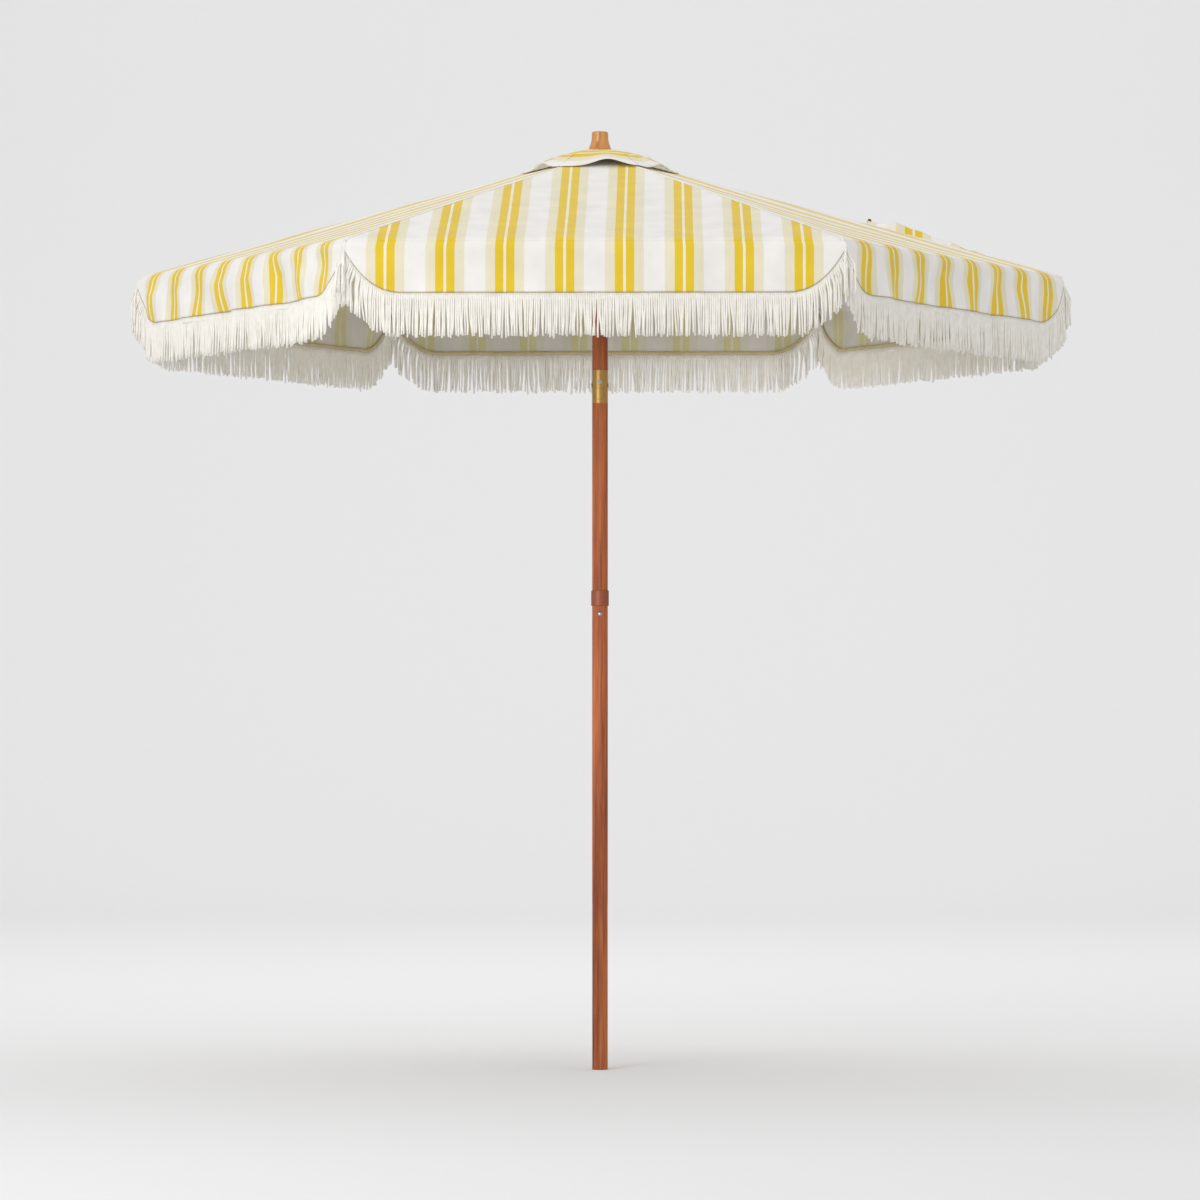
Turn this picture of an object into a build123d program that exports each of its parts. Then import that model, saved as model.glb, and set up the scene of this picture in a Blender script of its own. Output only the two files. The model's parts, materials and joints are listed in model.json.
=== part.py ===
from build123d import *
import math
import os

# Beach umbrella with a two-piece wooden pole, a tilt joint and a six-panel canopy.
# Millimetres, +Z up, origin at the centre of the pole's foot. The canopy's front panel faces -Y
# and rib 1 points along +X. Everything is drawn open and upright.

# ---- driving dimensions: heights ----
RIM_Z = 1923.0  # fold between the roof and the valance
HUB_PIVOT_Z = 2203.0
TILT_PIVOT_Z = 1658.0
TILT_HOUSING_BOTTOM_Z = 1614.6
TILT_HOUSING_TOP_Z = 1694.7
POLE_BUTTON_Z = 1103.0
FERRULE_BOTTOM_Z = 1123.0
POLE_SPLIT_Z = 1140.0
FERRULE_TOP_Z = 1160.0

# ---- driving dimensions: canopy ----
RIBS = 6
CANOPY_R = 1127.0  # axis to a rib tip
CLOTH = 1.0
VALANCE_DEPTH = 121.0
HEM_CORNER_WIDTH = 127.0  # each hem rises towards its corners over this width
HEM_CORNER_RISE = 89.0
FRINGE_LENGTH = 100.0
FRINGE_THICK = 2.0
SEAM_GAP = 1.2  # each panel stops this far short of its ridge
PANEL_INNER_R = 25.5
VENT_R = 182.0  # axis to a corner of the vent cap
VENT_RISE = 3.0  # vent cap's hem above the roof
VENT_EDGE_SLOPE = 30.0  # degrees, the cap's outer part
VENT_TOP_SLOPE = 6.5  # degrees, the cap's middle part
VENT_TOP_RISE = 9.0  # where the middle part's faces meet on the axis, above the ridges' meeting point
VENT_HOLE_R = 24.5
STRAP_LENGTH = 320.0
STRAP_WIDTH = 28.0
STRAP_THICK = 1.5
STRAP_START_R = 655.0  # along rib 1
STRAP_INSET = 34.0  # strap's middle line from the ridge of rib 1

# ---- driving dimensions: pole ----
POLE_R = 19.0
FOOT_CHAMFER = 1.0
FOOT_LENGTH = 400.0  # part of the pole that goes down into a base
FOOT_EASE = 0.25  # the foot is turned down by this much, to slip into a base
FOOT_BLEND = 3.0  # length of the cone between the foot and the full pole
FERRULE_WALL = 2.45
SPIGOT_R = 13.0
SPIGOT_WALL = 3.0
SPIGOT_BELOW = 118.0  # spigot inside the lower pole
SPIGOT_ABOVE = 60.0  # spigot inside the middle pole
POLE_JOINT_GAP = 0.3
TENON_R = 17.0
HOUSING_PROUD = 0.2  # tilt housing beyond the pole's surface
TENON_TOP_GAP = 5.0  # between the middle pole's tenon and the tongue's round end
TONGUE_THICK = 16.0
TONGUE_WIDTH = 16.0
TONGUE_ABOVE = 45.0  # tongue inside the upper pole
TILT_PIN_R = 4.0
TILT_PIN_HEAD_R = 6.0
TILT_PIN_HEAD = 1.2

# ---- driving dimensions: buttons and catch ----
POLE_BUTTON_R = 5.25
POLE_BUTTON_PROUD = 2.6
POLE_BUTTON_STEM_R = 3.0
POLE_BUTTON_TRAVEL = 2.5
TILT_BUTTON_Z = 1637.4
TILT_BUTTON_WIDTH = 18.0
TILT_BUTTON_HEIGHT = 29.0
TILT_BUTTON_PROUD = 1.6
TILT_BUTTON_TRAVEL = 3.0
TILT_RIVET_Z = 1665.6
TILT_RIVET_R = 5.4
TILT_RIVET_PROUD = 1.4
CATCH_R = 3.0
CATCH_KNOB_R = 7.0
CATCH_KNOB = 9.0
CATCH_DEPTH = 2.6  # catch's nose inside the pole's groove
GROOVE_WIDTH = 7.0
GROOVE_DEPTH = 3.6

# ---- driving dimensions: frame ----
RIB_R = 3.0
RIB_RISE = 4.0  # rod's axis above its pivot, square to the rod
RIB_TIP_SHORT = 10.0  # rod's end from the rim
EYE_R = 4.0
EYE_THICK = 3.0
EYE_TAB = 26.0
HUB_R = 36.0
HUB_PIVOT_R = 30.0
HUB_TOP = 7.5  # above the rib pivots
HUB_BOTTOM = 9.0  # below the rib pivots
HUB_EDGE_DROP = 2.0
WIRE_R = 1.5
SLOT_GAP = 0.3
STRETCHER_LENGTH = 238.0  # pivot to pivot, and hub pivot to bracket pivot
STRETCHER_WIDTH = 8.0
BRACKET_DROP = 9.0  # bracket's pivot below the rod's axis
BRACKET_LENGTH = 16.0
BRACKET_WALL = 2.2
TIP_CAP_LENGTH = 26.0
TIP_CAP_R = 5.0
RUNNER_FLANGE_R = 38.0
RUNNER_FLANGE = 14.0
RUNNER_SLEEVE_R = 25.0
RUNNER_SLEEVE = 25.0
RUNNER_BOSS_R = 9.0
RUNNER_BOSS_REACH = 31.0

# ---- driving dimensions: crown ----
CROWN_COLLAR_R = 23.5
APEX_RISE = 12.5  # hub's top to where the ridges' top lines would meet on the axis
FINIAL_RISE = 8.0  # that meeting point to the finial's base
FINIAL_BASE_R = 28.0
FINIAL_BASE_EDGE = 2.5
FINIAL_WAIST_R = 20.6
FINIAL_WAIST = 27.0
FINIAL_HOLLOW = 1.0  # depth of the curve between base and waist
FINIAL_TOP_R = 20.0
FINIAL_HEIGHT = 45.0
FINIAL_ROUND = 4.0
STUD_R = 4.0
STUD_BELOW = 30.0
STUD_ABOVE = 28.0

# ---- clearances ----
FIT = 0.05  # glued, pressed or pinned pieces
RUNNING = 0.3  # pieces that slide or swing past each other
BUTTON_GAP = 0.35

# ---- worked out ----
STEP_DEG = 360 / RIBS
HALF_TAN = math.tan(math.pi / RIBS)
APOTHEM = CANOPY_R * math.cos(math.pi / RIBS)
HUB_TOP_Z = HUB_PIVOT_Z + HUB_TOP
APEX_Z = HUB_TOP_Z + APEX_RISE
FINIAL_BASE_Z = APEX_Z + FINIAL_RISE
VENT_TOP_Z = APEX_Z + VENT_TOP_RISE
RIDGE_SLOPE = math.atan2(APEX_Z - RIM_Z, CANOPY_R)
GORE_SLOPE = math.atan2(APEX_Z - RIM_Z, APOTHEM)
RIB_DEG = math.degrees(RIDGE_SLOPE)
RIB_LENGTH = (CANOPY_R - HUB_PIVOT_R) / math.cos(RIDGE_SLOPE) - RIB_TIP_SHORT
# the bracket's pivot seen from the rib's pivot: STRETCHER_LENGTH away and slightly low
BRACKET_LOW = BRACKET_DROP - RIB_RISE
BRACKET_ALONG = math.sqrt(STRETCHER_LENGTH**2 - BRACKET_LOW**2)
LINK_SLOPE = RIDGE_SLOPE + math.asin(BRACKET_LOW / STRETCHER_LENGTH)
RUNNER_PIVOT_Z = HUB_PIVOT_Z - 2 * STRETCHER_LENGTH * math.sin(LINK_SLOPE)
UPPER_POLE_BOTTOM_Z = TILT_HOUSING_TOP_Z + POLE_JOINT_GAP
FERRULE_R = POLE_R + FIT + FERRULE_WALL
HOUSING_R = POLE_R + HOUSING_PROUD
CATCH_Z = RUNNER_PIVOT_Z - RUNNER_FLANGE / 2 - RUNNER_SLEEVE / 2

os.makedirs("parts", exist_ok=True)


def save(name, shape):
    """Write one node."""
    export_step(shape, f"parts/{name}.step")


def upright(radius, bottom, top):
    """A cylinder on the pole's axis."""
    height = top - bottom
    return Pos(0, 0, bottom) * Cylinder(radius, height, align=(Align.CENTER, Align.CENTER, Align.MIN))


def along_y(radius, start, end, z):
    """A cylinder along Y, in the plane of the pole's axis."""
    return Pos(0, (start + end) / 2, z) * Rot(90, 0, 0) * Cylinder(radius, end - start)


def along_x(radius, start, end, z):
    """A cylinder along X through the pole's axis."""
    return Pos((start + end) / 2, 0, z) * Rot(0, 90, 0) * Cylinder(radius, end - start)


def box_between(x0, x1, y0, y1, z0, z1):
    """A box given by its limits."""
    middle = Pos((x0 + x1) / 2, (y0 + y1) / 2, (z0 + z1) / 2)
    return middle * Box(x1 - x0, y1 - y0, z1 - z0)


def cross_pin(radius, half_length, x, z):
    """A pin along Y, centred on the plane of a rib that points along X."""
    return Pos(x, 0, z) * Rot(90, 0, 0) * Cylinder(radius, 2 * half_length)


def turned(shape, degrees):
    """A copy turned about the pole's axis."""
    return shape.rotate(Axis.Z, degrees)


# ---- pole ----
def lower_pole():
    """Bottom half of the pole, bored for the spigot and cross-bored for the snap button."""
    foot_r = POLE_R - FOOT_EASE
    foot = upright(foot_r, 0, FOOT_LENGTH)
    foot = chamfer(foot.edges().sort_by(Axis.Z)[0], FOOT_CHAMFER)
    blend = Pos(0, 0, FOOT_LENGTH + FOOT_BLEND / 2) * Cone(foot_r, POLE_R, FOOT_BLEND)
    pole = foot + blend + upright(POLE_R, FOOT_LENGTH + FOOT_BLEND, POLE_SPLIT_Z)
    pole -= upright(SPIGOT_R + FIT, POLE_SPLIT_Z - SPIGOT_BELOW - POLE_JOINT_GAP, POLE_SPLIT_Z + 1)
    recess = POLE_R - POLE_BUTTON_TRAVEL - 2
    pole -= along_y(POLE_BUTTON_R + BUTTON_GAP, -POLE_R - 1, -recess, POLE_BUTTON_Z)
    pole -= along_y(POLE_BUTTON_STEM_R + FIT, -POLE_R, -SPIGOT_R + 2, POLE_BUTTON_Z)
    return pole


def pole_ferrule():
    """Metal collar round the joint between the pole's halves, fixed to the lower one."""
    ring = upright(FERRULE_R, FERRULE_BOTTOM_Z, FERRULE_TOP_Z)
    ring = chamfer(ring.edges().filter_by(GeomType.CIRCLE), 0.8)
    return ring - upright(POLE_R + FIT, FERRULE_BOTTOM_Z - 1, FERRULE_TOP_Z + 1)


def pole_spigot():
    """Steel tube in the middle pole's foot, slotted where the snap button runs."""
    bottom = POLE_SPLIT_Z - SPIGOT_BELOW
    top = POLE_SPLIT_Z + POLE_JOINT_GAP + SPIGOT_ABOVE
    tube = upright(SPIGOT_R, bottom, top) - upright(SPIGOT_R - SPIGOT_WALL, bottom - 1, top + 1)
    half = POLE_BUTTON_STEM_R + BUTTON_GAP
    tube -= box_between(-half, half, -SPIGOT_R - 1, -1, bottom - 1, POLE_BUTTON_Z + half)
    return tube


def pole_button():
    """Domed snap button whose stem runs in the spigot's slot."""
    face = -POLE_R
    head = along_y(POLE_BUTTON_R, face - 0.4, face + 1.5, POLE_BUTTON_Z)
    dome_r = (POLE_BUTTON_R**2 + POLE_BUTTON_PROUD**2) / (2 * POLE_BUTTON_PROUD)
    ball = Pos(0, face - POLE_BUTTON_PROUD - 0.4 + dome_r, POLE_BUTTON_Z) * Sphere(dome_r)
    dome = ball & along_y(POLE_BUTTON_R, face - POLE_BUTTON_PROUD - 1, face - 0.4, POLE_BUTTON_Z)
    stem = along_y(POLE_BUTTON_STEM_R, face + 1, -SPIGOT_R + SPIGOT_WALL / 2, POLE_BUTTON_Z)
    return head + dome + stem


def middle_pole():
    """Pole between the ferrule and the tilt joint, with a tenon inside the housing."""
    bottom = POLE_SPLIT_Z + POLE_JOINT_GAP
    pole = upright(POLE_R, bottom, TILT_HOUSING_BOTTOM_Z)
    tenon_top = TILT_PIVOT_Z - TONGUE_WIDTH / 2 - TENON_TOP_GAP
    pole += upright(TENON_R - FIT, TILT_HOUSING_BOTTOM_Z, tenon_top)
    pole -= upright(SPIGOT_R + FIT, bottom - 1, bottom + SPIGOT_ABOVE + FIT)
    half_w = TILT_BUTTON_WIDTH / 2 + 2
    low = TILT_BUTTON_Z - TILT_BUTTON_HEIGHT / 2 - 2
    high = TILT_BUTTON_Z + TILT_BUTTON_HEIGHT / 2 + 2
    inner = TENON_R - 3 - TILT_BUTTON_TRAVEL - 1
    return pole - box_between(-half_w, half_w, -TENON_R - 1, -inner, low, high)


def oval(width, height, start, end, z):
    """A flat-sided oval prism along Y."""
    outline = Plane(origin=(0, start, z), x_dir=(0, 0, 1), z_dir=(0, 1, 0))
    return extrude(outline * SlotOverall(height, width), end - start)


def tilt_housing():
    """Brass sleeve round the tilt joint: whole in front, open behind for the tongue's swing."""
    top = TILT_HOUSING_TOP_Z
    bottom = TILT_HOUSING_BOTTOM_Z + FIT
    sleeve = upright(HOUSING_R, bottom, top) - upright(TENON_R, bottom - 1, top + 1)
    half = TONGUE_THICK / 2 + RUNNING
    sleeve -= box_between(-half, half, 0, HOUSING_R + 1, TILT_PIVOT_Z + 5, top + 1)
    # behind the pin the rim follows the circle that the upper pole's end face sweeps
    reach = UPPER_POLE_BOTTOM_Z - TILT_PIVOT_Z - 2 * RUNNING
    back = box_between(-HOUSING_R - 1, HOUSING_R + 1, 0, HOUSING_R + 1, TILT_PIVOT_Z, top + 1)
    sleeve -= back - along_x(reach, -HOUSING_R - 2, HOUSING_R + 2, TILT_PIVOT_Z)
    sleeve -= along_x(TILT_PIN_R + FIT, -HOUSING_R - 1, HOUSING_R + 1, TILT_PIVOT_Z)
    wide = TILT_BUTTON_WIDTH + 2 * BUTTON_GAP
    high = TILT_BUTTON_HEIGHT + 2 * BUTTON_GAP
    sleeve -= oval(wide, high, -HOUSING_R - 1, -HOUSING_R / 2, TILT_BUTTON_Z)
    sleeve -= along_y(TILT_RIVET_R / 2 + FIT, -HOUSING_R - 1, -HOUSING_R / 2, TILT_RIVET_Z)
    return sleeve


def tilt_button():
    """Oval push button in the housing's front, curved like the sleeve."""
    proud = HOUSING_R + TILT_BUTTON_PROUD
    body = oval(TILT_BUTTON_WIDTH, TILT_BUTTON_HEIGHT, -proud - 1, -TENON_R + 3, TILT_BUTTON_Z)
    half = TILT_BUTTON_HEIGHT
    return body & upright(proud, TILT_BUTTON_Z - half, TILT_BUTTON_Z + half)


def tilt_rivet():
    """Rivet above the button, through the housing's front wall."""
    face = -HOUSING_R
    shank = along_y(TILT_RIVET_R / 2, face, -TENON_R + 1.2, TILT_RIVET_Z)
    head = along_y(TILT_RIVET_R, face - TILT_RIVET_PROUD, face + 0.9, TILT_RIVET_Z)
    head = fillet(head.edges().sort_by(Axis.Y)[0], 0.7)
    head -= upright(HOUSING_R, TILT_RIVET_Z - 20, TILT_RIVET_Z + 20)
    tail = along_y(TILT_RIVET_R * 0.8, -TENON_R + 0.8, -TENON_R + 2.0, TILT_RIVET_Z)
    return head + shank + tail


def tilt_pin():
    """Hinge pin of the tilt joint, headed at both ends."""
    end = HOUSING_R + 0.3
    pin = along_x(TILT_PIN_R, -end, end, TILT_PIVOT_Z)
    for side in (-1, 1):
        start = side * end
        stop = side * (end + TILT_PIN_HEAD)
        pin += along_x(TILT_PIN_HEAD_R, min(start, stop), max(start, stop), TILT_PIVOT_Z)
    return pin


def tilt_tongue():
    """Steel tongue on the tilt pin, let into the upper pole."""
    half_x = TONGUE_THICK / 2
    half_y = TONGUE_WIDTH / 2
    top = UPPER_POLE_BOTTOM_Z + TONGUE_ABOVE
    tongue = box_between(-half_x, half_x, -half_y, half_y, TILT_PIVOT_Z, top)
    tongue += along_x(half_y, -half_x, half_x, TILT_PIVOT_Z)
    return tongue - along_x(TILT_PIN_R + FIT, -half_x - 1, half_x + 1, TILT_PIVOT_Z)


def upper_pole():
    """Pole above the tilt joint, grooved behind for the runner's catch."""
    bottom = UPPER_POLE_BOTTOM_Z
    pole = upright(POLE_R, bottom, HUB_TOP_Z)
    half_x = TONGUE_THICK / 2 + FIT
    half_y = TONGUE_WIDTH / 2 + FIT
    pole -= box_between(-half_x, half_x, -half_y, half_y, bottom - 1, bottom + TONGUE_ABOVE + FIT)
    half = GROOVE_WIDTH / 2
    groove_top = CATCH_Z + 12
    groove = box_between(-half, half, POLE_R - GROOVE_DEPTH, POLE_R + 1, bottom + 4, groove_top)
    pole -= groove
    return pole - upright(STUD_R + FIT, HUB_TOP_Z - STUD_BELOW - FIT, HUB_TOP_Z + 1)


# ---- hub, runner and finial ----
def ring_wire(z, radius):
    """Six straight runs of wire, one through each slot, joined by round corners."""
    corner_r = HUB_PIVOT_R / math.cos(math.pi / RIBS)
    half = corner_r * math.sin(math.pi / RIBS)
    wire = None
    for k in range(RIBS):
        run = turned(cross_pin(radius, half, HUB_PIVOT_R, z), k * STEP_DEG)
        corner = turned(Pos(corner_r, 0, z) * Sphere(radius), (k + 0.5) * STEP_DEG)
        wire = run + corner if wire is None else wire + run + corner
    return wire


def slots(z0, z1):
    """Radial slots that the ribs' or stretchers' eyes stand in."""
    half = EYE_THICK / 2 + SLOT_GAP
    inner = HUB_PIVOT_R - EYE_R - 0.4
    one = box_between(inner, RUNNER_FLANGE_R + 5, -half, half, z0, z1)
    return [turned(one, k * STEP_DEG) for k in range(RIBS)]


def hub():
    """Notched crown hub on the pole's top."""
    bottom = HUB_PIVOT_Z - HUB_BOTTOM
    body = upright(HUB_R, bottom, HUB_TOP_Z)
    rim = body.edges().filter_by(GeomType.CIRCLE).sort_by(Axis.Z)[-1]
    body = chamfer(rim, HUB_EDGE_DROP)
    body -= upright(POLE_R + FIT, bottom - 1, HUB_TOP_Z + 1)
    for slot in slots(bottom - 1, HUB_TOP_Z + 1):
        body -= slot
    return body - ring_wire(HUB_PIVOT_Z, WIRE_R + FIT)


def runner():
    """Notched sliding collar with a boss for its catch."""
    top = RUNNER_PIVOT_Z + RUNNER_FLANGE / 2
    neck = RUNNER_PIVOT_Z - RUNNER_FLANGE / 2
    bottom = neck - RUNNER_SLEEVE
    body = upright(RUNNER_FLANGE_R, neck, top) + upright(RUNNER_SLEEVE_R, bottom, neck)
    body += along_y(RUNNER_BOSS_R, 0, RUNNER_BOSS_REACH, CATCH_Z)
    body -= upright(POLE_R + RUNNING, bottom - 1, top + 1)
    for slot in slots(neck + 2.5, top + 1):
        body -= slot
    body -= along_y(CATCH_R + FIT, 0, RUNNER_BOSS_REACH + 1, CATCH_Z)
    return body - ring_wire(RUNNER_PIVOT_Z, WIRE_R + FIT)


def runner_catch():
    """Sprung plunger in the runner's boss, its nose in the pole's groove."""
    nose = POLE_R - CATCH_DEPTH
    outer = RUNNER_BOSS_REACH + 0.5
    plunger = along_y(CATCH_R, nose, outer + 1, CATCH_Z)
    knob = along_y(CATCH_KNOB_R, outer, outer + CATCH_KNOB, CATCH_Z)
    knob = fillet(knob.edges().filter_by(GeomType.CIRCLE), 1.2)
    return plunger + knob


def crown_collar():
    """Spacer between the hub and the finial, inside the canopy's centre hole."""
    ring = upright(CROWN_COLLAR_R, HUB_TOP_Z + FIT, FINIAL_BASE_Z - FIT)
    return ring - upright(STUD_R + FIT, HUB_TOP_Z - 1, FINIAL_BASE_Z + 1)


def finial():
    """Turned wooden finial: a flared foot, a slight taper and a rounded top."""
    z0 = FINIAL_BASE_Z
    top = z0 + FINIAL_HEIGHT
    edge = (FINIAL_BASE_R, z0 + FINIAL_BASE_EDGE)
    waist = (FINIAL_WAIST_R, z0 + FINIAL_WAIST)
    middle_r = (FINIAL_BASE_R + FINIAL_WAIST_R) / 2 - FINIAL_HOLLOW
    hollow = (middle_r, z0 + (FINIAL_BASE_EDGE + FINIAL_WAIST) / 2)
    shoulder = (FINIAL_TOP_R, top - FINIAL_ROUND)
    with BuildPart() as turned_part:
        with BuildSketch(Plane.XZ):
            with BuildLine():
                Polyline((0, z0), (FINIAL_BASE_R, z0), edge)
                ThreePointArc(edge, hollow, waist)
                Line(waist, shoulder)
                RadiusArc(shoulder, (FINIAL_TOP_R - FINIAL_ROUND, top), -FINIAL_ROUND)
                Polyline((FINIAL_TOP_R - FINIAL_ROUND, top), (0, top), (0, z0))
            make_face()
        revolve(axis=Axis.Z)
    return turned_part.part - upright(STUD_R + FIT, z0 - 1, z0 + STUD_ABOVE + FIT)


def finial_stud():
    """Threaded stud that holds finial, collar and pole together."""
    return upright(STUD_R, HUB_TOP_Z - STUD_BELOW, FINIAL_BASE_Z + STUD_ABOVE)


# ---- ribs and stretchers, drawn level along +X from their pivot and then laid to their slope ----
def laid(shape, degrees, radius, z):
    """Tilt a level piece down about its pivot and put the pivot in its place."""
    return Pos(radius, 0, z) * Rot(0, degrees, 0) * shape


def rib():
    """Round rod with a flattened eye at the hub."""
    eye = cross_pin(EYE_R, EYE_THICK / 2, 0, 0)
    tab_end = EYE_TAB + 4
    tab = box_between(0, tab_end, -EYE_THICK / 2, EYE_THICK / 2, -EYE_R, EYE_R)
    rod = Pos(EYE_TAB, 0, RIB_RISE) * Rot(0, 90, 0) * Cylinder(
        RIB_R, RIB_LENGTH - EYE_TAB, align=(Align.CENTER, Align.CENTER, Align.MIN)
    )
    level = eye + tab + rod - cross_pin(WIRE_R + FIT, EYE_THICK, 0, 0)
    return laid(level, RIB_DEG, HUB_PIVOT_R, HUB_PIVOT_Z)


def rib_fittings():
    """Bracket, its pin and the rib's tip cap."""
    x = BRACKET_ALONG
    pin_z = -BRACKET_LOW
    half_gap = EYE_THICK / 2 + SLOT_GAP
    half_wide = half_gap + BRACKET_WALL
    ear_low = pin_z - EYE_R
    top = RIB_RISE + RIB_R + BRACKET_WALL
    half_long = BRACKET_LENGTH / 2
    bracket = box_between(x - half_long, x + half_long, -half_wide, half_wide, ear_low, top)
    web = RIB_RISE - RIB_R - 0.8
    bracket -= box_between(x - half_long - 1, x + half_long + 1, -half_gap, half_gap, ear_low - 1, web)
    rod = Pos(x, 0, RIB_RISE) * Rot(0, 90, 0) * Cylinder(RIB_R + FIT, BRACKET_LENGTH + 4)
    bracket = bracket - rod - cross_pin(WIRE_R + FIT, half_wide + 1, x, pin_z)
    pin = cross_pin(WIRE_R, half_wide + 0.4, x, pin_z)
    for side in (-1, 1):
        pin += Pos(0, side * (half_wide + 0.7), 0) * cross_pin(WIRE_R + 1, 0.4, x, pin_z)
    end = RIB_LENGTH + 3
    cap = Pos(end - TIP_CAP_LENGTH / 2, 0, RIB_RISE) * Rot(0, 90, 0) * Cylinder(TIP_CAP_R, TIP_CAP_LENGTH)
    cap = fillet(cap.edges().filter_by(GeomType.CIRCLE), 1.5)
    cap -= Pos(RIB_LENGTH - 50 + FIT, 0, RIB_RISE) * Rot(0, 90, 0) * Cylinder(RIB_R + FIT, 100)
    pieces = Compound(children=[bracket, pin, cap])
    return laid(pieces, RIB_DEG, HUB_PIVOT_R, HUB_PIVOT_Z)


def stretcher():
    """Flat bar from a rib's bracket down to the runner."""
    outline = Plane.XZ * SlotCenterToCenter(STRETCHER_LENGTH, STRETCHER_WIDTH)
    level = Pos(STRETCHER_LENGTH / 2, 0, 0) * extrude(outline, EYE_THICK / 2, both=True)
    for x in (0, STRETCHER_LENGTH):
        level -= cross_pin(WIRE_R + FIT, EYE_THICK, x, 0)
    return laid(level, -math.degrees(LINK_SLOPE), HUB_PIVOT_R, RUNNER_PIVOT_Z)


# ---- canopy, drawn for a panel that faces +X ----
ROOF = Plane(
    origin=(0, 0, APEX_Z),
    x_dir=(math.cos(GORE_SLOPE), 0, -math.sin(GORE_SLOPE)),
    z_dir=(math.sin(GORE_SLOPE), 0, math.cos(GORE_SLOPE)),
)
SLANT = 1 / math.cos(GORE_SLOPE)


def roof_panel(inner, outer, lift):
    """Flat roof panel between two distances from the axis, its top face lift above the roof."""
    near = inner * HALF_TAN - SEAM_GAP
    far = outer * HALF_TAN - SEAM_GAP
    corners = [(inner * SLANT, -near), (outer * SLANT, -far), (outer * SLANT, far), (inner * SLANT, near)]
    outline = make_face(Polyline(*corners, close=True))
    return extrude(ROOF.offset(lift) * outline, -CLOTH)


def gore():
    """Roof panel from the crown to the rim."""
    return roof_panel(PANEL_INNER_R, APOTHEM - CLOTH - 0.5, 0)


def hanging(depth, back, thick):
    """Upright sheet below the rim, whose lower edge curves up at both corners."""
    half = APOTHEM * HALF_TAN - SEAM_GAP - CLOTH
    low = RIM_Z - depth
    top = RIM_Z - SEAM_GAP / 2
    start = half - HEM_CORNER_WIDTH
    pull = half - HEM_CORNER_WIDTH / 2
    rise = low + HEM_CORNER_RISE
    right = Bezier((start, low), (pull, low), (half, rise))
    left = Bezier((-half, rise), (-pull, low), (-start, low))
    sides = Polyline((half, rise), (half, top), (-half, top), (-half, rise))
    outline = make_face([Line((-start, low), (start, low)), right, sides, left])
    face = Plane(origin=(APOTHEM - back, 0, 0), x_dir=(0, 1, 0), z_dir=(1, 0, 0))
    return extrude(face * outline, thick)


def valance():
    """Deep cloth band hanging from the rim."""
    return hanging(VALANCE_DEPTH, CLOTH, CLOTH)


def fringe():
    """Cotton fringe below the valance, following its rounded corners."""
    back = (CLOTH + FRINGE_THICK) / 2
    sheet = hanging(VALANCE_DEPTH + FRINGE_LENGTH, back, FRINGE_THICK)
    return sheet - hanging(VALANCE_DEPTH + RUNNING, back + 1, FRINGE_THICK + 2)


def cap_block(inset):
    """Hexagonal block under the vent cap's two slopes, inset from its top faces."""
    body = Pos(0, 0, RIM_Z) * extrude(RegularPolygon(VENT_R, RIBS), 2 * (APEX_Z - RIM_Z))
    reach = VENT_R * math.cos(math.pi / RIBS)
    hem = APEX_Z - reach * math.tan(GORE_SLOPE) + VENT_RISE
    for out, z, degrees in ((0, VENT_TOP_Z, VENT_TOP_SLOPE), (reach, hem, VENT_EDGE_SLOPE)):
        slope = math.radians(degrees)
        outwards = (math.sin(slope), 0, math.cos(slope))
        face = Plane(origin=(out, 0, z), x_dir=(0, 1, 0), z_dir=outwards).offset(-inset)
        above = extrude(face * Rectangle(8 * VENT_R, 8 * VENT_R), 4 * VENT_R)
        for k in range(RIBS):
            body -= turned(above, (k + 0.5) * STEP_DEG)
    return body


def vent_cap():
    """Hexagonal cap over the roof's centre, nearly flat in the middle and steep at its hem."""
    shell = cap_block(0) - cap_block(CLOTH)
    return shell - upright(VENT_HOLE_R, HUB_TOP_Z, FINIAL_BASE_Z + FINIAL_HEIGHT)


def tie_strap():
    """Closing strap lying on the roof beside rib 1, clear of the cloth."""
    half = math.pi / RIBS
    # unit vectors of the ridge of rib 1 in the panel's own plane
    slant_u = math.cos(half) * SLANT
    slant_v = -math.sin(half)
    size = math.hypot(slant_u, slant_v)
    ridge_u = slant_u / size
    ridge_v = slant_v / size
    middle = STRAP_START_R * size + STRAP_LENGTH / 2
    u = middle * ridge_u - STRAP_INSET * ridge_v
    v = middle * ridge_v + STRAP_INSET * ridge_u
    angle = math.degrees(math.atan2(ridge_v, ridge_u))
    outline = Pos(u, v) * Rot(0, 0, angle) * RectangleRounded(STRAP_LENGTH, STRAP_WIDTH, 4)
    return extrude(ROOF.offset(0.5) * outline, STRAP_THICK)


# ---- write the nodes ----
save("lower_pole", lower_pole())
save("pole_ferrule", pole_ferrule())
save("pole_button", pole_button())
save("pole_spigot", pole_spigot())
save("middle_pole", middle_pole())
save("tilt_housing", tilt_housing())
save("tilt_button", tilt_button())
save("tilt_rivet", tilt_rivet())
save("tilt_pin", tilt_pin())
save("tilt_tongue", tilt_tongue())
save("upper_pole", upper_pole())
save("hub", hub())
save("hub_ring", ring_wire(HUB_PIVOT_Z, WIRE_R))
save("runner", runner())
save("runner_ring", ring_wire(RUNNER_PIVOT_Z, WIRE_R))
save("runner_catch", runner_catch())
save("crown_collar", crown_collar())
save("finial", finial())
save("finial_stud", finial_stud())
save("vent_cap", vent_cap())
save("tie_strap", turned(tie_strap(), STEP_DEG / 2))

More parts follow.
